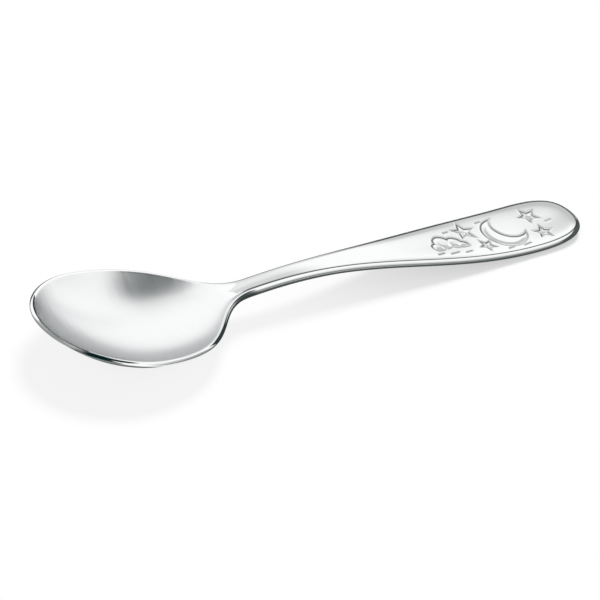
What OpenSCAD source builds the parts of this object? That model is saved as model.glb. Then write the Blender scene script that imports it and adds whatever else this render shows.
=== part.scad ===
// Child's first spoon, pressed and forged from one piece of stainless steel.
// It lies as on a table: the bowl stands on its belly, the neck arches over,
// and the broad end of the handle comes back down to the table.
// X runs from the tip of the bowl to the end of the handle, and the spoon is
// the same on both sides of Y = 0. The origin is under the middle of its length.

/* [Plan view] */
// Length from the tip of the bowl to the end of the handle
overall_length = 150; // [135:1:170]
// Width of the bowl where it is widest
bowl_width = 35.8; // [30:0.2:42]
// Distance from the tip to the widest place of the bowl
bowl_widest_at = 20; // [17:0.5:23]
// Width of the neck where it is narrowest
neck_width = 5.2; // [4:0.1:7]
// Distance from the tip to the narrowest place of the neck
neck_at = 55; // [50:0.5:60]
// Width of the handle where it is widest
handle_width = 17.1; // [12:0.1:20]
// Distance from the end of the handle back to its widest place
handle_widest_from_end = 15; // [12:0.5:22]

/* [Side view] */
// Rise of the rim from the neck to the tip of the bowl
tip_rise = 4.7; // [2:0.1:8]
// Rise of the arch of the neck above the low place of the rim
arch_rise = 1.3; // [0:0.1:4]
// Rise of the handle's end above the place where it rests
end_rise = 0.9; // [0:0.1:2]

/* [Bowl] */
// Depth of the hollow below its rim
bowl_depth = 7.2; // [4:0.1:9]
// Distance from the tip to the deepest place of the bowl
bowl_deepest_at = 22.5; // [19:0.5:24]
// Width of the narrow flat that runs round the rim
rim_flat = 0.9; // [0.5:0.1:1.4]
// Height of the upright edge of the rim
rim_edge = 0.9; // [0.7:0.1:1.3]
// Thickness of the metal at the bottom of the bowl
bowl_wall = 1.1; // [0.8:0.1:1.5]

/* [Neck and handle] */
// Thickness of the neck, from the level of its edges to the middle of its underside
neck_thickness = 2.9; // [2.2:0.1:4]
// Height of the upright side of the neck
neck_edge = 1.5; // [1:0.1:2]
// Thickness of the handle, from the level of its edges to the middle of its underside
handle_thickness = 2.1; // [1.7:0.1:3]
// Height of the upright side of the handle
handle_edge = 1.4; // [0.9:0.1:1.6]
// Depth of the shallow hollow along the top of the neck and handle
top_dish = 0.25; // [0:0.05:0.5]
// Distance past the neck at which the handle has its own thickness
handle_full_past_neck = 45; // [30:1:60]

/* [Edges] */
// Radius of the shoulder that the top turns into the side with, all round
shoulder = 0.8; // [0.4:0.05:0.9]
// Radius of the turn from the side into the underside
under_round = 0.45; // [0.2:0.05:0.5]
// Depth of the two small flats that the spoon stands on, under the bowl and the handle
rest_flat = 0.2; // [0.1:0.05:0.3]

/* [Hidden] */

// Pull of each curve of the plan on its neighbours, as a share of the distance
// between the two places that the curve joins, or of the half width at the ends
tip_round_share = 0.61;
widest_before_share = 0.45;
widest_after_share = 0.66;
neck_before_share = 0.38;
neck_after_share = 0.5;
broad_before_share = 0.39;
broad_after_share = 0.65;
end_round_share = 0.78;

// Side view as evenly spaced control heights of one smooth curve: the rim as
// shares of the tip's rise, then the handle as shares of the fall of the arch
rim_shares = [1, 0.56, 0.16, 0];
arch_shares = [1, 0.97, 0.73, 0.41, 0.135, 0];

// Fullness of a section across the bowl and across the handle's underside:
// none gives a parabola, and one a flat middle with quickly turning sides
bowl_fullness_share = 0.15;
handle_fullness_share = 0.8;

// Steps along each of the four curves of the plan, across a section, over the
// shoulder and round the turn into the underside
curve_steps = [30, 44, 34, 26];
across_steps = 14;
shoulder_steps = 4;
turn_steps = 2;

half_bowl = bowl_width / 2;
half_neck = neck_width / 2;
half_handle = handle_width / 2;
broad_at = overall_length - handle_widest_from_end;
// The hollow runs out here, where its two laws share their curvature at the
// deepest place
hollow_ends_at = bowl_deepest_at + (bowl_deepest_at - rim_flat) * PI / 2;

// Small laws that the surfaces are made of
function mix(a, b, t) = a + (b - a) * t;
function clamp01(t) = max(0, min(1, t));
function ease(t) = let (c = clamp01(t)) c * c * (3 - 2 * c);
function section_law(s, fullness) = (1 - fullness) * (1 - s * s) + fullness * (1 - pow(s, 4));

function bezier(p, t) =
    pow(1 - t, 3) * p[0]
    + 3 * pow(1 - t, 2) * t * p[1]
    + 3 * (1 - t) * t * t * p[2]
    + pow(t, 3) * p[3];

function bezier_slope(p, t) =
    3 * pow(1 - t, 2) * (p[1] - p[0])
    + 6 * (1 - t) * t * (p[2] - p[1])
    + 3 * t * t * (p[3] - p[2]);

// Uniform cubic curve through control values, ended by reflection
function spline(values, u) =
    let (spans = len(values) - 1)
    let (padded = concat(2 * values[0] - values[1], values, 2 * values[spans] - values[spans - 1]))
    let (place = clamp01(u) * spans)
    let (i = min(floor(place), spans - 1))
    let (t = place - i)
    padded[i] * pow(1 - t, 3) / 6
    + padded[i + 1] * (3 * pow(t, 3) - 6 * t * t + 4) / 6
    + padded[i + 2] * (-3 * pow(t, 3) + 3 * t * t + 3 * t + 1) / 6
    + padded[i + 3] * pow(t, 3) / 6;

// Plan view: half of the outline, as four curves of [distance from tip, half width]
tip_curve = [
    [0, 0],
    [0, tip_round_share * half_bowl],
    [bowl_widest_at * (1 - widest_before_share), half_bowl],
    [bowl_widest_at, half_bowl]
];
shoulder_curve = [
    [bowl_widest_at, half_bowl],
    [mix(bowl_widest_at, neck_at, widest_after_share), half_bowl],
    [mix(neck_at, bowl_widest_at, neck_before_share), half_neck],
    [neck_at, half_neck]
];
handle_curve = [
    [neck_at, half_neck],
    [mix(neck_at, broad_at, neck_after_share), half_neck],
    [mix(broad_at, neck_at, broad_before_share), half_handle],
    [broad_at, half_handle]
];
end_curve = [
    [broad_at, half_handle],
    [mix(broad_at, overall_length, broad_after_share), half_handle],
    [overall_length, end_round_share * half_handle],
    [overall_length, 0]
];
curves = [tip_curve, shoulder_curve, handle_curve, end_curve];

// Each station between the two ends holds its place on the outline and the
// outward direction there
function unit(v) = v / norm(v);
function outward(slope) = unit([-slope[1], slope[0]]);
stations = [
    for (c = [0 : 3])
    for (i = [1 : curve_steps[c]])
    if (c < 3 || i < curve_steps[c])
    let (t = i / curve_steps[c])
    [bezier(curves[c], t), outward(bezier_slope(curves[c], t))]
];
tip_station = [[0, 0], [-1, 0]];
end_station = [[overall_length, 0], [1, 0]];

// How full the underside and the hollow top are near the round end of the handle
function end_fade(x, inset) =
    let (t = clamp01((x - broad_at) / (handle_widest_from_end - inset)))
    1 - t * t;

// The hollow of the bowl: a parabola from the tip to the deepest place, then a
// cosine that runs out into the neck
function hollow_share(x, starts_at) =
    x < bowl_deepest_at
    ? 1 - pow(clamp01((bowl_deepest_at - x) / (bowl_deepest_at - starts_at)), 2)
    : (1 + cos(180 * clamp01((x - bowl_deepest_at) / (hollow_ends_at - bowl_deepest_at)))) / 2;

// Thickness through the middle and height of the side, from bowl to neck to handle
function neck_share(x) = ease((x - bowl_deepest_at) / (neck_at - bowl_deepest_at));
function handle_share(x) = ease((x - neck_at) / handle_full_past_neck);
function along(x, bowl, neck, handle) = mix(mix(bowl, neck, neck_share(x)), handle, handle_share(x));
function middle_thickness(x) = along(x, bowl_wall, neck_thickness, handle_thickness);
function side_height(x) = along(x, rim_edge, neck_edge, handle_edge);
function dish_depth(x) = top_dish * neck_share(x) * end_fade(x, rim_flat);
function under_fullness(x) = mix(bowl_fullness_share, handle_fullness_share, neck_share(x));

// Distance of the middle of the top and of the underside below the edge
function top_sag(x) = bowl_depth * hollow_share(x, rim_flat) + dish_depth(x);
function under_sag(x) =
    bowl_depth * hollow_share(x, under_round)
    + (middle_thickness(x) - side_height(x)) * end_fade(x, under_round)
    * (x < bowl_deepest_at ? hollow_share(x, under_round) : 1);

// Side view of the edge before it is laid on the table
rim_low = bowl_depth + bowl_wall - tip_rise * rim_shares[2];
foot_low = handle_thickness;
control_heights = concat(
    [for (share = rim_shares) rim_low + tip_rise * share],
    [for (share = arch_shares) mix(foot_low, rim_low + arch_rise, share)],
    foot_low + end_rise
);
function free_edge(x) = spline(control_heights, x / overall_length);
function free_under(x) = free_edge(x) - side_height(x) - under_sag(x);

// The lowest places of the bowl and of the handle both go below the table by the
// depth of the flats, which then take that much off them
function lowest(places) = min([for (x = places) free_under(x)]);
function place_of(places, value) = [for (x = places) if (free_under(x) == value) x][0];
bowl_places = [for (i = [0 : 60]) neck_at * i / 60];
handle_places = [for (i = [0 : 60]) mix(neck_at + handle_full_past_neck, overall_length, i / 60)];
bowl_low = lowest(bowl_places);
handle_low = lowest(handle_places);
bowl_rests_at = place_of(bowl_places, bowl_low);
handle_rests_at = place_of(handle_places, handle_low);
function edge_height(x) =
    let (t = (x - bowl_rests_at) / (handle_rests_at - bowl_rests_at))
    free_edge(x) - mix(bowl_low, handle_low, t) - rest_flat;

// The most of the side's height that its shoulder and its lower turn take, and
// the most of the flat's width that the shoulder takes: it is flatter on the thin
// rim of the bowl than on the handle
upper_turn_share = 0.6;
lower_turn_share = 0.35;
flat_turn_share = 0.9;

// Rails that follow the outline, as [inset from it, drop below the edge]: the flat,
// the shoulder and the turn into the underside
function rails(x) =
    let (side = side_height(x))
    let (width = min(shoulder, rim_flat * flat_turn_share))
    let (upper = min(shoulder, side * upper_turn_share))
    let (lower = min(under_round, side * lower_turn_share))
    [
        [rim_flat, 0],
        for (i = [0 : shoulder_steps])
        let (a = 90 * i / shoulder_steps)
        [width * (1 - sin(a)), upper * (1 - cos(a))],
        for (i = [0 : turn_steps])
        let (a = 90 * i / turn_steps)
        [lower * (1 - cos(a)), side - lower * (1 - sin(a))]
    ];
rail_count = len(rails(0));

function rail_point(station, rail, side) =
    let (p = station[0] - station[1] * rail[0])
    [p[0], side * p[1], edge_height(p[0]) - rail[1]];

// Points across the top and the underside, between the innermost rails
function across_shares(from) = [for (i = [1 : across_steps - 1]) from * (1 - 2 * i / across_steps)];
function top_point(p, s) = [p[0], s * p[1], p[2] - top_sag(p[0]) * section_law(s, bowl_fullness_share)];
function under_point(p, s) =
    let (z = p[2] - under_sag(p[0]) * section_law(s, under_fullness(p[0])))
    [p[0], s * p[1], max(0, z)];

// One closed ring of points: down the +Y side, under, up the -Y side and over
function ring(station) =
    let (rail_set = rails(station[0][0]))
    let (right = [for (rail = rail_set) rail_point(station, rail, 1)])
    let (left = [for (i = [rail_count - 1 : -1 : 0]) rail_point(station, rail_set[i], -1)])
    concat(
        right,
        [for (s = across_shares(1)) under_point(right[rail_count - 1], s)],
        left,
        [for (s = across_shares(-1)) top_point(right[0], s)]
    );
ring_size = 2 * rail_count + 2 * (across_steps - 1);

// At both ends the ring closes to an upright row of points, one for each rail.
// This gives the point of that row that a place on the ring runs into
function row_place(j) =
    j < rail_count ? j
    : j < rail_count + across_steps - 1 ? rail_count - 1
    : j < 2 * rail_count + across_steps - 1 ? 2 * rail_count + across_steps - 2 - j
    : 0;

function to_middle(points) = [for (p = points) [p[0] - overall_length / 2, p[1], p[2]]];

// The whole spoon: one skin of rings from the tip of the bowl to the end
module spoon() {
    last = len(stations) - 1;
    tip_row = [for (rail = rails(0)) rail_point(tip_station, rail, 1)];
    end_row = [for (rail = rails(overall_length)) rail_point(end_station, rail, 1)];
    points = concat(tip_row, [for (station = stations) each ring(station)], end_row);
    first_ring = rail_count;
    last_ring = first_ring + last * ring_size;
    first_end = last_ring + ring_size;

    tip_faces = [
        for (j = [0 : ring_size - 1])
        let (k = (j + 1) % ring_size)
        let (a = row_place(j))
        let (b = row_place(k))
        each a == b
            ? [[first_ring + k, first_ring + j, a]]
            : [[first_ring + k, first_ring + j, a], [b, first_ring + k, a]]
    ];
    skin_faces = [
        for (i = [0 : last - 1])
        for (j = [0 : ring_size - 1])
        let (k = (j + 1) % ring_size)
        let (a = first_ring + i * ring_size)
        each [[a + j, a + k, a + ring_size + j], [a + k, a + ring_size + k, a + ring_size + j]]
    ];
    end_faces = [
        for (j = [0 : ring_size - 1])
        let (k = (j + 1) % ring_size)
        let (a = first_end + row_place(j))
        let (b = first_end + row_place(k))
        each a == b
            ? [[last_ring + j, last_ring + k, a]]
            : [[last_ring + j, last_ring + k, a], [last_ring + k, b, a]]
    ];
    color([0.8, 0.81, 0.82])
        polyhedron(points = to_middle(points), faces = concat(tip_faces, skin_faces, end_faces));
}

spoon();
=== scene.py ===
import math

import bpy
import numpy as np
from mathutils import Matrix, Vector


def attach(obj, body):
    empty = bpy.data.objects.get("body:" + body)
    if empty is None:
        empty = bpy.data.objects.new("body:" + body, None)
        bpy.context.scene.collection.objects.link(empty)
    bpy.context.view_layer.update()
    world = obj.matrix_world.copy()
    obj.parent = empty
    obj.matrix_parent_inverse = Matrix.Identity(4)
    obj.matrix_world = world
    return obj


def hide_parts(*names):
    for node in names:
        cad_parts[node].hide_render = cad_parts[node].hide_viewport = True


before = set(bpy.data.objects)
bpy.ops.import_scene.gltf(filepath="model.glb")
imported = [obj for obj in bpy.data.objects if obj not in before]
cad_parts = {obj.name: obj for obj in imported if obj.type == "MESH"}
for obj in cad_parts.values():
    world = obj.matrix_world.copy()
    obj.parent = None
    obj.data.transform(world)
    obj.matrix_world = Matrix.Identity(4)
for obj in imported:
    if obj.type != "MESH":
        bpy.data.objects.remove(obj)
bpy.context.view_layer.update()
bpy.ops.object.select_all(action="DESELECT")


# The camera looks down across the bowl, half from the tip of the spoon and half
# from its side, through a long lens that is held with a slight tilt. It aims at a
# point just above the table.
MM = 0.001
view_azimuth = math.radians(44.91)
view_elevation = math.radians(33.20)
view_tilt = math.radians(12.61)
view_distance = 945.1 * MM
view_aim = Vector((-10.49, -6.60, 5.0)) * MM
picture_side = 600
focal_length_in_pixels = 4395.7
film_width = 36.0
nearest_seen, farthest_seen = 0.05, 20.0

look = Vector((
    math.sin(view_azimuth) * math.cos(view_elevation),
    math.cos(view_azimuth) * math.cos(view_elevation),
    -math.sin(view_elevation),
))
level_right = Vector((math.cos(view_azimuth), -math.sin(view_azimuth), 0.0))
level_up = level_right.cross(look)
tilted_right = math.cos(view_tilt) * level_right + math.sin(view_tilt) * level_up
tilted_up = -math.sin(view_tilt) * level_right + math.cos(view_tilt) * level_up

bpy.ops.object.camera_add(location=view_aim - view_distance * look)
camera = bpy.context.object
camera.name = "product_camera"
camera.rotation_euler = Matrix((tilted_right, tilted_up, -look)).transposed().to_euler()
camera.data.sensor_width = film_width
camera.data.lens = focal_length_in_pixels * film_width / picture_side
camera.data.clip_start = nearest_seen
camera.data.clip_end = farthest_seen
camera.data.dof.use_dof = False
bpy.context.scene.camera = camera
bpy.context.scene.view_settings.view_transform = "Standard"


# The table is a sheet of matt white card that runs out of sight. The camera sees
# it as plain white with the spoon's own soft shadow. Polished metal sees painted
# shade on it: dark along the handle, behind the spoon, under the bowl and beyond
# both its ends.
table_half_width = 3.0
card_white = 0.95
card_white_in_metal = 0.92
shadow_at_bowl, shadow_at_handle = 0.16, 0.46
second_bounce = (1.2, 1.8)
second_bounce_loss = 0.55
green_in_darks = 0.013


class Signal:
    """A socket of a shader, with Python's arithmetic for the Math nodes behind it."""

    def __init__(self, tree, socket):
        self.tree = tree
        self.socket = socket

    def output(self, name):
        """Another output of the same node."""
        return Signal(self.tree, self.socket.node.outputs[name])

    def math(self, operation, *values):
        """The result of one Math node on this socket and any further values."""
        inputs = dict(enumerate((self, *values)))
        return node(self.tree, "ShaderNodeMath", {"operation": operation}, inputs)

    def __add__(self, other):
        return self.math("ADD", other)

    def __sub__(self, other):
        return self.math("SUBTRACT", other)

    def __rsub__(self, other):
        return (self * -1.0).math("ADD", other)

    def __mul__(self, other):
        return self.math("MULTIPLY", other)

    def __pow__(self, other):
        return self.math("POWER", other)

    __radd__ = __add__
    __rmul__ = __mul__

    def ramp(self, start, end):
        """A smooth step from nought at start to one at end."""
        return node(
            self.tree, "ShaderNodeMapRange", {"interpolation_type": "SMOOTHSTEP"},
            {"Value": self, "From Min": start, "From Max": end},
        )


def node(tree, kind, settings=None, inputs=None, output=0):
    """Adds a node, sets it, fills its sockets with values or links, and returns one output."""
    made = tree.nodes.new(kind)
    for name, value in (settings or {}).items():
        setattr(made, name, value)
    for name, value in (inputs or {}).items():
        if isinstance(value, Signal):
            tree.links.new(value.socket, made.inputs[name])
        else:
            made.inputs[name].default_value = value
    return Signal(tree, made.outputs[output]) if made.outputs else made


def new_material(name):
    """An empty node material and its tree."""
    material = bpy.data.materials.new(name)
    material.use_nodes = True
    material.node_tree.nodes.clear()
    return material, material.node_tree


def steel_tone(tree, level):
    """A grey level as polished steel shows it, a little green in the darks."""
    green = level + (1.0 - level) * green_in_darks
    return node(tree, "ShaderNodeCombineColor", inputs={"Red": level, "Green": green, "Blue": green})


bpy.ops.mesh.primitive_plane_add(size=2 * table_half_width)
table = bpy.context.object
table.name = "table_card"
table_material, tree = new_material("white_card")
path = node(tree, "ShaderNodeLightPath")
bounces = path.output("Glossy Depth")
seen_by_camera, seen_by_metal = path.output("Is Camera Ray"), path.output("Is Glossy Ray")
place = node(tree, "ShaderNodeTexCoord", output="Object")
place_parts = node(tree, "ShaderNodeSeparateXYZ", inputs={"Vector": place})
along, across = place_parts.output("X"), place_parts.output("Y")


def spot(x, y, inner, outer):
    """One inside a round spot on the table and nought outside it, in mm."""
    distance = ((along - x * MM) ** 2.0 + (across - y * MM) ** 2.0) ** 0.5
    return distance.ramp(outer * MM, inner * MM)


# Painted shade on the card, which only metal sees, each patch with how dark it is
beside_handle = across.math("ABSOLUTE").ramp(70 * MM, 18 * MM) * along.ramp(-40 * MM, -26 * MM)
beyond_tip = along.ramp(-72 * MM, -90 * MM)
behind_spoon = across.ramp(8 * MM, 22 * MM)
past_end = along.ramp(74 * MM, 84 * MM)
painted_shades = (
    (beside_handle, 0.92), (beyond_tip, 0.7), (behind_spoon, 0.95), (past_end, 0.85),
    (spot(-79, -19, 12, 14.5), 1.0), (spot(-89, -31, 11, 15), 1.0), (spot(-50, 0, 12, 19), 0.8),
)
reflected = card_white_in_metal * (1.0 - second_bounce_loss * bounces.ramp(*second_bounce))
for shade, darkness in painted_shades:
    reflected = reflected * (1.0 - darkness * shade)
shadow_strength = shadow_at_bowl + (shadow_at_handle - shadow_at_bowl) * along.ramp(-20 * MM, 60 * MM)
card = node(tree, "ShaderNodeBsdfDiffuse", inputs={"Color": (card_white, card_white, card_white, 1)})
plain_white = node(tree, "ShaderNodeEmission", inputs={"Color": (1, 1, 1, 1)})
in_metal = node(tree, "ShaderNodeEmission", inputs={"Color": steel_tone(tree, reflected)})
to_camera = node(tree, "ShaderNodeMixShader", inputs={0: shadow_strength, 1: plain_white, 2: card})
shown = node(tree, "ShaderNodeMixShader", inputs={0: seen_by_camera, 1: card, 2: to_camera})
shown = node(tree, "ShaderNodeMixShader", inputs={0: seen_by_metal, 1: shown, 2: in_metal})
node(tree, "ShaderNodeOutputMaterial", inputs={"Surface": shown})
table.data.materials.append(table_material)
bpy.ops.object.select_all(action="DESELECT")


# The light is a white tent all round, and one broad soft lamp high behind the
# spoon that throws its shadow towards the camera. Low down the tent is dark in
# places, with a black card overhead, and polished metal draws its bands from them.
tent_light = 0.42
lamp_azimuth = math.radians(42)
lamp_elevation = math.radians(50)
lamp_strength = 2.7
lamp_spread = math.radians(20)
later_bounces = (2.0, 3.1)
to_degrees = 180 / math.pi

bpy.ops.object.light_add(type="SUN")
lamp = bpy.context.object
lamp.name = "soft_lamp"
lamp.data.energy = lamp_strength
lamp.data.angle = lamp_spread
to_lamp = Vector((
    math.sin(lamp_azimuth) * math.cos(lamp_elevation),
    math.cos(lamp_azimuth) * math.cos(lamp_elevation),
    math.sin(lamp_elevation),
))
lamp.rotation_euler = to_lamp.to_track_quat("Z", "Y").to_euler()
lamp.visible_glossy = False

world = bpy.context.scene.world or bpy.data.worlds.new("tent")
bpy.context.scene.world = world
world.use_nodes = True
tree = world.node_tree
tree.nodes.clear()
path = node(tree, "ShaderNodeLightPath")
bounces = path.output("Glossy Depth")
seen_by_camera, seen_by_metal = path.output("Is Camera Ray"), path.output("Is Glossy Ray")
direction = node(tree, "ShaderNodeTexCoord", output="Generated")
direction_parts = node(tree, "ShaderNodeSeparateXYZ", inputs={"Vector": direction})
toward_x, toward_y = direction_parts.output("X"), direction_parts.output("Y")
elevation = direction_parts.output("Z").math("ARCSINE") * to_degrees
# Degrees clockwise, seen from above, from the direction of -Y
bearing = (toward_x * -1.0).math("ARCTAN2", toward_y * -1.0) * to_degrees


def tent_card(azimuth, card_elevation, radius, softness):
    """How much a round card covers of the tent, in degrees; azimuth turns from +Y towards +X."""
    a, e = math.radians(azimuth), math.radians(card_elevation)
    middle = (math.sin(a) * math.cos(e), math.cos(a) * math.cos(e), math.sin(e))
    both = {0: direction, 1: middle}
    nearness = node(tree, "ShaderNodeVectorMath", {"operation": "DOT_PRODUCT"}, both, "Value")
    return (nearness.math("ARCCOSINE") * to_degrees).ramp(radius + softness, radius)


def between(value, bearings):
    """A level that runs through (bearing, level) pairs with smooth steps between them."""
    level = bearings[0][1] + value * 0.0
    for (start, low), (end, high) in zip(bearings, bearings[1:]):
        if low != high:
            level = level + value.ramp(start, end) * (high - low)
    return level


# By bearing: the level low down in the tent, the elevation that it reaches up to,
# and the elevation from which the tent is white
low_tent = between(bearing, [
    (-180, 0.9), (-165, 0.9), (-150, 0.2), (-82, 0.2), (-72, 0.25), (-60, 0.15),
    (-32, 0.2), (-22, 1.0), (9, 1.0), (15, 0.0), (50, 0.0), (66, 0.16),
    (82, 0.36), (100, 0.32), (125, 0.29), (150, 0.34), (180, 0.9),
])
dark_up_to = between(bearing, [
    (-180, 0), (-83, 0), (-74, 12), (9, 12), (15, 62), (150, 62), (170, 0), (180, 0),
])
white_from = between(bearing, [
    (-180, 18), (-83, 18), (-74, 52), (-4, 52), (9, 30), (15, 79), (150, 79), (170, 18), (180, 18),
])
upward = elevation.ramp(dark_up_to, white_from)

# Cards that darken the tent, and what it loses where the bowl mirrors itself
black_overhead = tent_card(176, 69, 17.5, 6)
pale_overhead = 0.2 * tent_card(50, 84, 6, 10)
lost_in_bowl = bounces.ramp(*second_bounce) * (second_bounce_loss + 0.3 * tent_card(105, 45, 16, 16))
lost_by_tip = 0.92 * bounces.ramp(*later_bounces) * tent_card(68, 24, 22, 14)
tent_level = low_tent * (1.0 - upward) + upward
for loss in (black_overhead, pale_overhead, lost_in_bowl, lost_by_tip):
    tent_level = tent_level * (1.0 - loss)
around = seen_by_camera + (1.0 - seen_by_camera) * tent_light
for_metal = node(tree, "ShaderNodeBackground", inputs={"Color": steel_tone(tree, tent_level)})
for_the_rest = node(tree, "ShaderNodeBackground", inputs={"Color": (1, 1, 1, 1), "Strength": around})
tent = node(tree, "ShaderNodeMixShader", inputs={0: seen_by_metal, 1: for_the_rest, 2: for_metal})
node(tree, "ShaderNodeOutputWorld", inputs={"Surface": tent})


# Eight small cards of white, grey and black board stand near the spoon, and only
# polished metal shows them. The white one keeps the black card overhead out of the
# neck, and the others draw the grey and dark bands on the rim, neck and handle.
flat, upright, facing_front = (0, 0, 0), (0, math.pi / 2, 0), (math.pi / 2, 0, 0)


def small_card(name, middle, size, rotation, level, shown_from=None):
    """A plain card, in mm, that only polished metal shows, see-through where shown_from says."""
    material, tree = new_material(name)
    shown = node(tree, "ShaderNodeEmission", inputs={"Color": steel_tone(tree, level)})
    if shown_from:
        solid = shown_from(tree, node(tree, "ShaderNodeNewGeometry", output="Position"))
        clear = node(tree, "ShaderNodeBsdfTransparent")
        shown = node(tree, "ShaderNodeMixShader", inputs={0: solid, 1: clear, 2: shown})
    node(tree, "ShaderNodeOutputMaterial", inputs={"Surface": shown})
    bpy.ops.mesh.primitive_plane_add(size=1, location=Vector(middle) * MM, rotation=rotation)
    made = bpy.context.object
    made.name = name
    made.scale = (size[0] * MM, size[1] * MM, 1)
    made.data.materials.append(material)
    for ray in ("camera", "diffuse", "transmission", "volume_scatter", "shadow"):
        setattr(made, "visible_" + ray, False)
    bpy.ops.object.select_all(action="DESELECT")


def away_from_neck(tree, place):
    """Clear at a point beside the neck, and solid a few millimetres away from it."""
    by_neck = {0: place, 1: Vector((-18.0, -2.6, 8.0)) * MM}
    away = node(tree, "ShaderNodeVectorMath", {"operation": "DISTANCE"}, by_neck, "Value")
    return away.ramp(1.0 * MM, 4.6 * MM)


def low_by_neck(tree, place):
    """Stronger low down, and clear towards the end of the handle."""
    parts = node(tree, "ShaderNodeSeparateXYZ", inputs={"Vector": place})
    by_neck, low = parts.output("X").ramp(26 * MM, 8 * MM), parts.output("Z").ramp(40 * MM, 22 * MM)
    return by_neck * (0.5 + 0.5 * low)


def up_and_out(tree, place):
    """Stronger outwards, above a soft edge that rises past the end of the handle."""
    parts = node(tree, "ShaderNodeSeparateXYZ", inputs={"Vector": place})
    out, up = parts.output("X"), parts.output("Z")
    edge_rise = out.ramp(94 * MM, 116 * MM) * (15 * MM)
    return 0.9 * out.ramp(74 * MM, 92 * MM) * (up - edge_rise).ramp(28 * MM, 41 * MM)


small_card("card_over_neck", (-25.8, -0.8, 26.0), (27.0, 18.5), (0, 0, math.radians(42)), 1.0)
small_card("card_beside_neck", (-18.0, -10.0, 10.5), (17.0, 14.0), upright, 0.03, away_from_neck)
small_card("card_behind_neck", (6.5, 23.0, 45.0), (39.0, 56.0), facing_front, 0.66, low_by_neck)
small_card("card_past_end", (82.0, -10.5, 6.5), (13.0, 23.0), upright, 0.08)
small_card("card_over_tip", (-70.5, 6.5, 22.0), (13.0, 17.0), flat, 0.24)
small_card("card_over_near_rim", (-67.0, -7.5, 22.0), (15.0, 11.0), flat, 0.05)
small_card("card_inside_tip", (-67.0, 3.5, 13.6), (4.0, 21.0), upright, 0.03)
small_card("card_behind_end", (112.0, 45.0, 60.0), (84.0, 70.0), facing_front, 0.5, up_and_out)


# The spoon is one blank of stainless steel, rolled thin for the bowl, pressed to
# its hollow and its arched neck, and trimmed and polished round the edge. Its
# outline in plan is four curves of (distance from the tip, half width), in mm, and
# the shares in them say how far each end holds its direction.
length = 150.0
half_bowl = 17.9
half_neck = 2.6
half_handle = 8.55
bowl_widest_at = 20.0
bowl_deepest_at = 22.5
neck_at = 55.0
broad_at = length - 15.0


def mix(a, b, t):
    return a + (b - a) * t


def ease(t):
    """A smooth step from nought at nought to one at one."""
    t = np.clip(t, 0.0, 1.0)
    return t * t * (3 - 2 * t)


def smooth_step(low, high, value):
    return ease((value - low) / (high - low))


outline = np.array([
    [(0, 0), (0, 0.61 * half_bowl), (0.55 * bowl_widest_at, half_bowl), (bowl_widest_at, half_bowl)],
    [(bowl_widest_at, half_bowl), (mix(bowl_widest_at, neck_at, 0.66), half_bowl),
     (mix(neck_at, bowl_widest_at, 0.38), half_neck), (neck_at, half_neck)],
    [(neck_at, half_neck), (mix(neck_at, broad_at, 0.5), half_neck),
     (mix(broad_at, neck_at, 0.39), half_handle), (broad_at, half_handle)],
    [(broad_at, half_handle), (mix(broad_at, length, 0.65), half_handle),
     (length, 0.78 * half_handle), (length, 0)],
])


def bezier(points, t):
    """Points of a cubic curve, and the outward directions there, at the shares t of it."""
    t = t[:, None]
    at = (1 - t) ** 3 * points[0] + 3 * (1 - t) ** 2 * t * points[1] \
        + 3 * (1 - t) * t ** 2 * points[2] + t ** 3 * points[3]
    slope = (1 - t) ** 2 * (points[1] - points[0]) + 2 * (1 - t) * t * (points[2] - points[1]) \
        + t ** 2 * (points[3] - points[2])
    outward = np.column_stack((-slope[:, 1], slope[:, 0]))
    return at, outward / np.linalg.norm(outward, axis=1)[:, None]


def steps(*stretches):
    """Shares of a curve as (start, end, count) stretches, without the first share of each."""
    return np.concatenate([np.linspace(start, end, count)[1:] for start, end, count in stretches])


# Steps along each curve are fine where the relief on the handle needs them
relief_from, relief_to = 0.565, 0.42
stations = [
    bezier(outline[0], np.linspace(0, 1, 52)),
    bezier(outline[1], steps((0, 1, 60))),
    bezier(outline[2], steps((0, relief_from, 30), (relief_from, 1, 290))),
    bezier(outline[3], steps((0, relief_to, 80), (relief_to, 1, 40))),
]
places = np.concatenate([s[0] for s in stations])
outwards = np.concatenate([s[1] for s in stations])

# Side view of the edge: one smooth curve through evenly spaced control heights
bowl_depth, bowl_wall, tip_rise, arch_rise, end_rise = 7.2, 1.1, 4.7, 1.3, 0.9
rim_flat, under_round, rest_flat = 0.9, 0.45, 0.2
neck_thickness, handle_thickness = 2.9, 2.1
rim_edge, neck_edge, handle_edge = 0.9, 1.5, 1.4
handle_full_past_neck = 45.0
bowl_fullness, neck_fullness = 0.15, 0.8
rim_low = bowl_depth + bowl_wall - 0.16 * tip_rise
edge_controls = np.array(
    [rim_low + tip_rise * s for s in (1, 0.56, 0.16, 0)]
    + [mix(handle_thickness, rim_low + arch_rise, s) for s in (1, 0.97, 0.73, 0.41, 0.135, 0)]
    + [handle_thickness + end_rise]
)


def spline(values, u):
    """A smooth curve by evenly spaced control values, at the shares u of it."""
    spans = len(values) - 1
    padded = np.concatenate(([2 * values[0] - values[1]], values, [2 * values[-1] - values[-2]]))
    place = np.clip(u, 0, 1) * spans
    i = np.minimum(place.astype(int), spans - 1)
    t = place - i
    return (padded[i] * (1 - t) ** 3 + padded[i + 1] * (3 * t ** 3 - 6 * t ** 2 + 4)
            + padded[i + 2] * (-3 * t ** 3 + 3 * t ** 2 + 3 * t + 1) + padded[i + 3] * t ** 3) / 6


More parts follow.
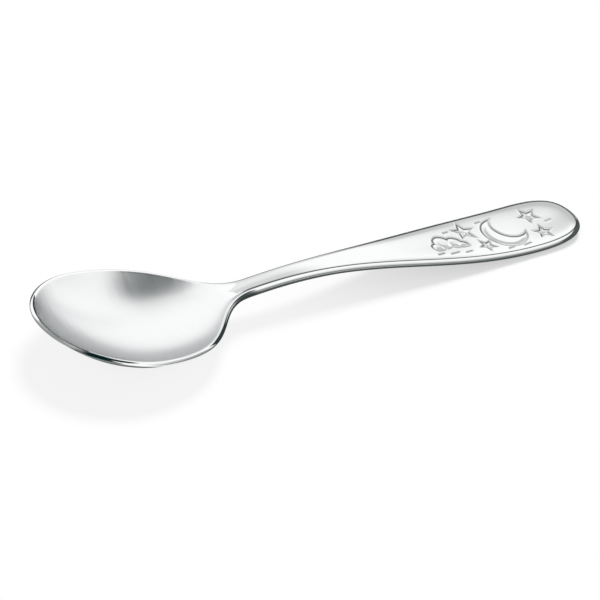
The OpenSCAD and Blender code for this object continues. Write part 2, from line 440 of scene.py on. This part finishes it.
def hollow_share(x, starts_at):
    """How much of the bowl's depth there is at x: one where it is deepest, nought at tip and neck."""
    front = 1 - np.clip((bowl_deepest_at - x) / (bowl_deepest_at - starts_at), 0, 1) ** 2
    run = (bowl_deepest_at - rim_flat) * math.pi / 2
    back = (1 + np.cos(math.pi * np.clip((x - bowl_deepest_at) / run, 0, 1))) / 2
    return np.where(x < bowl_deepest_at, front, back)


def end_fade(x, inset):
    return 1 - np.clip((x - broad_at) / (length - broad_at - inset), 0, 1) ** 2


def neck_share(x):
    return ease((x - bowl_deepest_at) / (neck_at - bowl_deepest_at))


def along_spoon(x, bowl, neck, handle):
    """A measure that has one value in the bowl, one at the neck and one along the handle."""
    return mix(mix(bowl, neck, neck_share(x)), handle, ease((x - neck_at) / handle_full_past_neck))


def side_height(x):
    return along_spoon(x, rim_edge, neck_edge, handle_edge)


def top_sag(x):
    return bowl_depth * hollow_share(x, rim_flat)


def under_sag(x):
    hollow = hollow_share(x, under_round)
    thicker = along_spoon(x, bowl_wall, neck_thickness, handle_thickness) - side_height(x)
    thickens = end_fade(x, under_round) * np.where(x < bowl_deepest_at, hollow, 1)
    return bowl_depth * hollow + thicker * thickens


def free_edge(x):
    return spline(edge_controls, x / length)


def low_place(start, end):
    """Where the underside is lowest between two places, and its height there."""
    x = np.linspace(start, end, 61)
    under = free_edge(x) - side_height(x) - under_sag(x)
    return x[under.argmin()], under.min()


bowl_rests_at, bowl_low = low_place(0, neck_at)
handle_rests_at, handle_low = low_place(neck_at + handle_full_past_neck, length)


def edge_height(x):
    """Height of the edge once the spoon stands on the table on its two low places."""
    t = (x - bowl_rests_at) / (handle_rests_at - bowl_rests_at)
    return free_edge(x) - mix(bowl_low, handle_low, t) - rest_flat


def section_law(s, fullness):
    """Depth across the spoon, from one in the middle to nought at the edges, s = -1 and 1."""
    return (1 - fullness) * (1 - s ** 2) + fullness * (1 - s ** 4)


# The relief on the handle is a crescent moon with stars and a cloud. Circles are
# (distance from the tip, distance to the left of the middle, size) in mm, stars
# have a turn in degrees as well, and short strokes have their length as the size
relief_rise = 0.12
relief_slope_width = 1.3
line_depth = 0.14
line_width = 0.24
line_share_on_right = 0.45
full_line_from = (-0.5, 0.6)
beside = 0.1
stroke_share = 0.5
stroke_slant = 0.1
moon = (129.4, -0.2, 5.4)
moon_bite = (132.2, 1.9, 4.5)
stars = ((119.7, 2.9, 2.9, 12), (121.8, -3.3, 2.0, 40), (138.5, -3.6, 2.1, 5), (139.2, 2.9, 2.4, 30))
star_notch = 0.46
cloud = ((108.9, -1.1, 1.6), (111.2, 0.3, 2.4), (114.3, -0.3, 2.0), (116.2, -1.5, 1.3))
cloud_base = -2.4
strokes = (
    (107.6, -3.6, 1.8), (111.4, -4.0, 2.4), (115.4, -4.3, 1.8), (114.8, 3.7, 1.5),
    (127.0, -5.9, 1.6), (131.7, -6.0, 2.0), (125.6, 5.0, 1.4), (142.4, -0.5, 1.4),
)


def inside_star(x, y, centre_x, centre_y, size, turned):
    """Distance inside a five-pointed star, negative outside."""
    fifth = 2 * math.pi / 5
    angle = np.arctan2(y - centre_y, x - centre_x) - math.radians(turned)
    reach = np.hypot(x - centre_x, y - centre_y)
    fold = np.abs((angle / fifth + 0.5) % 1 - 0.5) * fifth
    px, py = reach * np.cos(fold), reach * np.sin(fold)
    tip = np.array([size, 0.0])
    notch = star_notch * size * np.array([math.cos(fifth / 2), math.sin(fifth / 2)])
    edge = notch - tip
    normal = np.array([edge[1], -edge[0]]) / np.hypot(*edge)
    return -((px - tip[0]) * normal[0] + (py - tip[1]) * normal[1])


def inside_relief(x, y):
    """Distance inside the outlines of the moon, the stars and the cloud."""
    inside = np.minimum(
        moon[2] - np.hypot(x - moon[0], y - moon[1]),
        np.hypot(x - moon_bite[0], y - moon_bite[1]) - moon_bite[2],
    )
    for star in stars:
        inside = np.maximum(inside, inside_star(x, y, *star))
    for centre_x, centre_y, size in cloud:
        puff = size - np.hypot(x - centre_x, y - centre_y)
        inside = np.maximum(inside, np.minimum(puff, y - cloud_base))
    return inside


def relief_height(x, y):
    """Height of the relief, and how deep its lines are cut, which is deepest on the left."""
    inside = inside_relief(x, y)
    body = relief_rise * smooth_step(0.0, relief_slope_width, inside)
    leftward = (inside_relief(x, y - beside) - inside_relief(x, y + beside)) / (2 * beside)
    line_share = mix(line_share_on_right, 1.0, smooth_step(*full_line_from, leftward))
    lines = line_share * np.exp(-(inside / line_width) ** 2)
    for centre_x, centre_y, reach in strokes:
        beyond_ends = np.maximum(np.abs(x - centre_x) - reach / 2, 0)
        off = np.hypot(beyond_ends, y - centre_y - stroke_slant * (x - centre_x))
        lines = np.maximum(lines, stroke_share * np.exp(-(off / line_width) ** 2))
    return body - line_depth * lines, lines


# The face of the neck and handle is a shallow dish that falls from its edge, fast
# at first and then gently, by these slopes at these distances inside the edge
face_from, face_run = 46.0, 9.0
dish_places = (0.0, 0.06, 0.12, 0.3, 0.5, 0.8, 1.1, 1.4, 2.0, 3.0, 5.0)
dish_slopes = (0.13, 0.13, 0.13, 0.125, 0.115, 0.10, 0.075, 0.05, 0.03, 0.015, 0.0)
dish_fine = np.linspace(0, dish_places[-1], 501)
dish_slope = np.interp(dish_fine, dish_places, dish_slopes)
dish_falls = (dish_slope[1:] + dish_slope[:-1]) / 2 * np.diff(dish_fine)
dish_fall = np.concatenate(([0], np.cumsum(dish_falls)))
nearly_nought = 1e-9
edge_line = places - outwards * rim_flat
edge_line[:, 1] = np.maximum(edge_line[:, 1], 0)


def from_edge(x, y):
    """Distances of the points at x, on one side of the middle, from the edge of the face."""
    start, step = edge_line[:-1], np.diff(edge_line, axis=0)
    to_x, to_y = x - start[:, 0], np.abs(y)[:, None] - start[:, 1]
    step_square = np.maximum((step ** 2).sum(axis=1), nearly_nought)
    t = np.clip((to_x * step[:, 0] + to_y * step[:, 1]) / step_square, 0, 1)
    return np.hypot(to_x - t * step[:, 0], to_y - t * step[:, 1]).min(axis=1)


# The satin finish fills the hollow inside its softly turned rim, up to the neck.
# A fine line of painted shade follows the edge of the face and runs onto its
# shoulder, and the engraving is painted dark as shade too. The line narrows along the handle, and
# starts faint on the left
rim_turn = 0.12
satin_inside_rim, satin_past_tip = (-0.05, 0.25), (0.2, 0.8)
satin_to, satin_soft = 48.5, 0.3
line_full_to, line_ends_at_neck, line_ends_at_end = 0.12, 0.62, 0.32
line_narrows = (60.0, 100.0)
left_line_strengthens, left_line_at_neck = (62.0, 100.0), 0.15
painted_shade_on_side = 0.8
# Painted shade in the engraving, as a share of the dark colour
painted_shade_in_engraving = 0.95

# One ring of the skin: down the side, under, up the other side and over the top.
# Insets from the outline and drops below its edge, in mm, round the side's shoulder
handle_insets = np.array([0.84, 0.70, 0.52, 0.34, 0.18, 0.06, 0.0])
handle_drops = np.array([0.0, 0.05, 0.135, 0.26, 0.42, 0.60, 0.80])
rim_insets = np.array([0.62, 0.50, 0.36, 0.20, 0.06, 0.01, 0.0])
rim_drops = np.array([0.015, 0.03, 0.14, 0.29, 0.44, 0.52, 0.57])
inner_rim_drop = 0.1
lower_turn = np.radians(np.linspace(0, 90, 5))
lower_most = 0.35
top_count, under_count = 125, 13
close_to_edge = np.array([0.02, 0.045, 0.07, 0.095, 0.12, 0.155, 0.2, 0.26])
crowding_in_bowl, crowding_at_neck = 0.9, 0.2
under_shares = np.linspace(1, -1, under_count)[1:-1]
even = np.linspace(1, -1, top_count)
rows, satin_rows, painted_shade_rows = [], [], []
for (x, w), outward in zip(places, outwards):
    side = side_height(np.array(x))
    lower = min(under_round, lower_most * side)
    on_neck = neck_share(x)
    rail_insets = np.concatenate((
        [rim_flat], mix(rim_insets, handle_insets, on_neck), lower * (1 - np.cos(lower_turn)),
    ))
    rail_drops = np.concatenate((
        [inner_rim_drop * (1 - on_neck)], mix(rim_drops, handle_drops, on_neck),
        side - lower + lower * np.sin(lower_turn),
    ))
    rail_x = x - outward[0] * rail_insets
    rail_y = w - outward[1] * rail_insets
    if rows and len(rows) + 1 < len(places):
        rail_y = np.maximum(rail_y, 0)
    rail_z = edge_height(rail_x) - rail_drops

    fullness = mix(bowl_fullness, neck_fullness, neck_share(rail_x[-1]))
    under_y = rail_y[-1] * under_shares
    under_z = np.maximum(0, rail_z[-1] - under_sag(rail_x[-1]) * section_law(under_shares, fullness))

    # Steps over the top crowd together towards the edges
    crowding = mix(crowding_in_bowl, crowding_at_neck, neck_share(rail_x[0]))
    crowded = mix(even, np.sin(even * math.pi / 2), crowding)
    margin = close_to_edge * min(1, rail_y[0]) / max(rail_y[0], nearly_nought)
    crowded = np.concatenate((1 - margin[:-1], (1 - margin[-1]) * crowded, margin[-2::-1] - 1))
    top_y = rail_y[0] * -crowded
    fall = top_sag(rail_x[0]) * section_law(crowded, bowl_fullness)
    soft = np.where(fall > 0, np.sqrt(fall ** 2 + rim_turn ** 2) - rim_turn, fall)
    inside_edge = from_edge(rail_x[0], top_y)
    on_face = ease((rail_x[0] - face_from) / face_run)
    relief, engraved = relief_height(rail_x[0], top_y)
    top_z = rail_z[0] - soft - on_face * np.interp(inside_edge, dish_fine, dish_fall) + relief

    line_ends = mix(line_ends_at_neck, line_ends_at_end, smooth_step(*line_narrows, x))
    left_share = mix(left_line_at_neck, 1.0, smooth_step(*left_line_strengthens, x))
    share = np.where(top_y > 0, left_share, 1.0)
    # Painted shade in a band along the edge of the face
    edge_painted_shade = share * on_face * smooth_step(line_ends, line_full_to, inside_edge)
    rail_painted_shade = np.zeros(len(rail_x))
    # Painted shade on the first two rails of the shoulder
    rail_painted_shade[:2] = on_face, painted_shade_on_side * on_face
    painted_shade_rows.append(np.concatenate((
        left_share * rail_painted_shade, np.zeros(len(under_y)), rail_painted_shade[::-1],
        np.maximum(engraved * painted_shade_in_engraving, edge_painted_shade),
    )))

    from_rim = rail_y[0] * (1 - np.abs(crowded))
    satin = smooth_step(*satin_inside_rim, from_rim)
    satin = satin * smooth_step(*satin_past_tip, rail_x[0] - rim_flat)
    satin = satin * (1 - smooth_step(satin_to - satin_soft, satin_to + satin_soft, rail_x[0]))
    satin_rows.append(np.concatenate((np.zeros(2 * len(rail_x) + len(under_y)), satin)))

    rows.append(np.column_stack((
        np.concatenate((
            rail_x, np.full(len(under_y), rail_x[-1]), rail_x[::-1], np.full(len(top_y), rail_x[0]),
        )),
        np.concatenate((rail_y, under_y, -rail_y[::-1], top_y)),
        np.concatenate((rail_z, under_z, rail_z[::-1], top_z)),
    )))
skin = np.array(rows)
skin[:, :, 0] -= length / 2
skin = np.concatenate((skin, skin[:, :1]), axis=1) * MM

# The skin starts as a flat grid, is wrapped into the spoon and is closed along
# its seam and at both ends
seam_gap = 0.0005
ring_steps, length_steps = skin.shape[1] - 1, skin.shape[0] - 1
bpy.ops.mesh.primitive_grid_add(x_subdivisions=ring_steps, y_subdivisions=length_steps, size=1)
spoon = bpy.context.object
spoon.name = "steel_spoon"
spoon.data.vertices.foreach_set("co", skin.reshape(-1))
for name, finish_rows in (("satin", satin_rows), ("painted_shade", painted_shade_rows)):
    values = np.array(finish_rows)
    values = np.concatenate((values, values[:, :1]), axis=1)
    layer = spoon.data.attributes.new(name, "FLOAT", "POINT")
    layer.data.foreach_set("value", values.reshape(-1).astype(np.float32))
bpy.ops.object.mode_set(mode="EDIT")
bpy.ops.mesh.select_all(action="SELECT")
bpy.ops.mesh.remove_doubles(threshold=seam_gap * MM)
bpy.ops.mesh.normals_make_consistent(inside=False)
bpy.ops.object.mode_set(mode="OBJECT")
bpy.ops.object.shade_smooth()
spoon.data.name = spoon.name

# Mirror-polished steel, with a fine satin grain across the hollow of the bowl, and painted shade
# along the edge of the face and in the engraving
polished_roughness, satin_roughness, grain_roughness = 0.07, 0.17, 0.10
grain_scale = (900.0, 90.0, 90.0)
grain_detail, grain_detail_roughness = 5.0, 0.6
grain_strength, grain_height = 0.3, 0.00009
bright_steel, painted_shade_colour = (0.975, 0.98, 0.985, 1), (0.045, 0.055, 0.055, 1)

steel, tree = new_material("stainless_steel")
place = node(tree, "ShaderNodeTexCoord", output="Object")
grain_place = node(tree, "ShaderNodeMapping", inputs={"Vector": place, "Scale": grain_scale})
grain = node(tree, "ShaderNodeTexNoise", {"noise_dimensions": "3D"}, {
    "Vector": grain_place, "Scale": 1.0, "Detail": grain_detail, "Roughness": grain_detail_roughness,
})
in_bowl = node(tree, "ShaderNodeAttribute", {"attribute_name": "satin"}, output="Fac")
in_painted_shade = node(tree, "ShaderNodeAttribute", {"attribute_name": "painted_shade"}, output="Fac")
colours = {0: in_painted_shade, 6: bright_steel, 7: painted_shade_colour}
colour = node(tree, "ShaderNodeMix", {"data_type": "RGBA"}, colours, output=2)
roughness = polished_roughness + in_bowl * (satin_roughness + grain * grain_roughness)
bump = node(tree, "ShaderNodeBump", inputs={
    "Strength": grain_strength, "Distance": grain_height, "Height": grain * in_bowl,
})
shader = node(tree, "ShaderNodeBsdfPrincipled", inputs={
    "Base Color": colour, "Metallic": 1.0, "Roughness": roughness, "Normal": bump,
})
node(tree, "ShaderNodeOutputMaterial", inputs={"Surface": shader})
spoon.data.materials.append(steel)

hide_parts("spoon")
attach(spoon, "root")
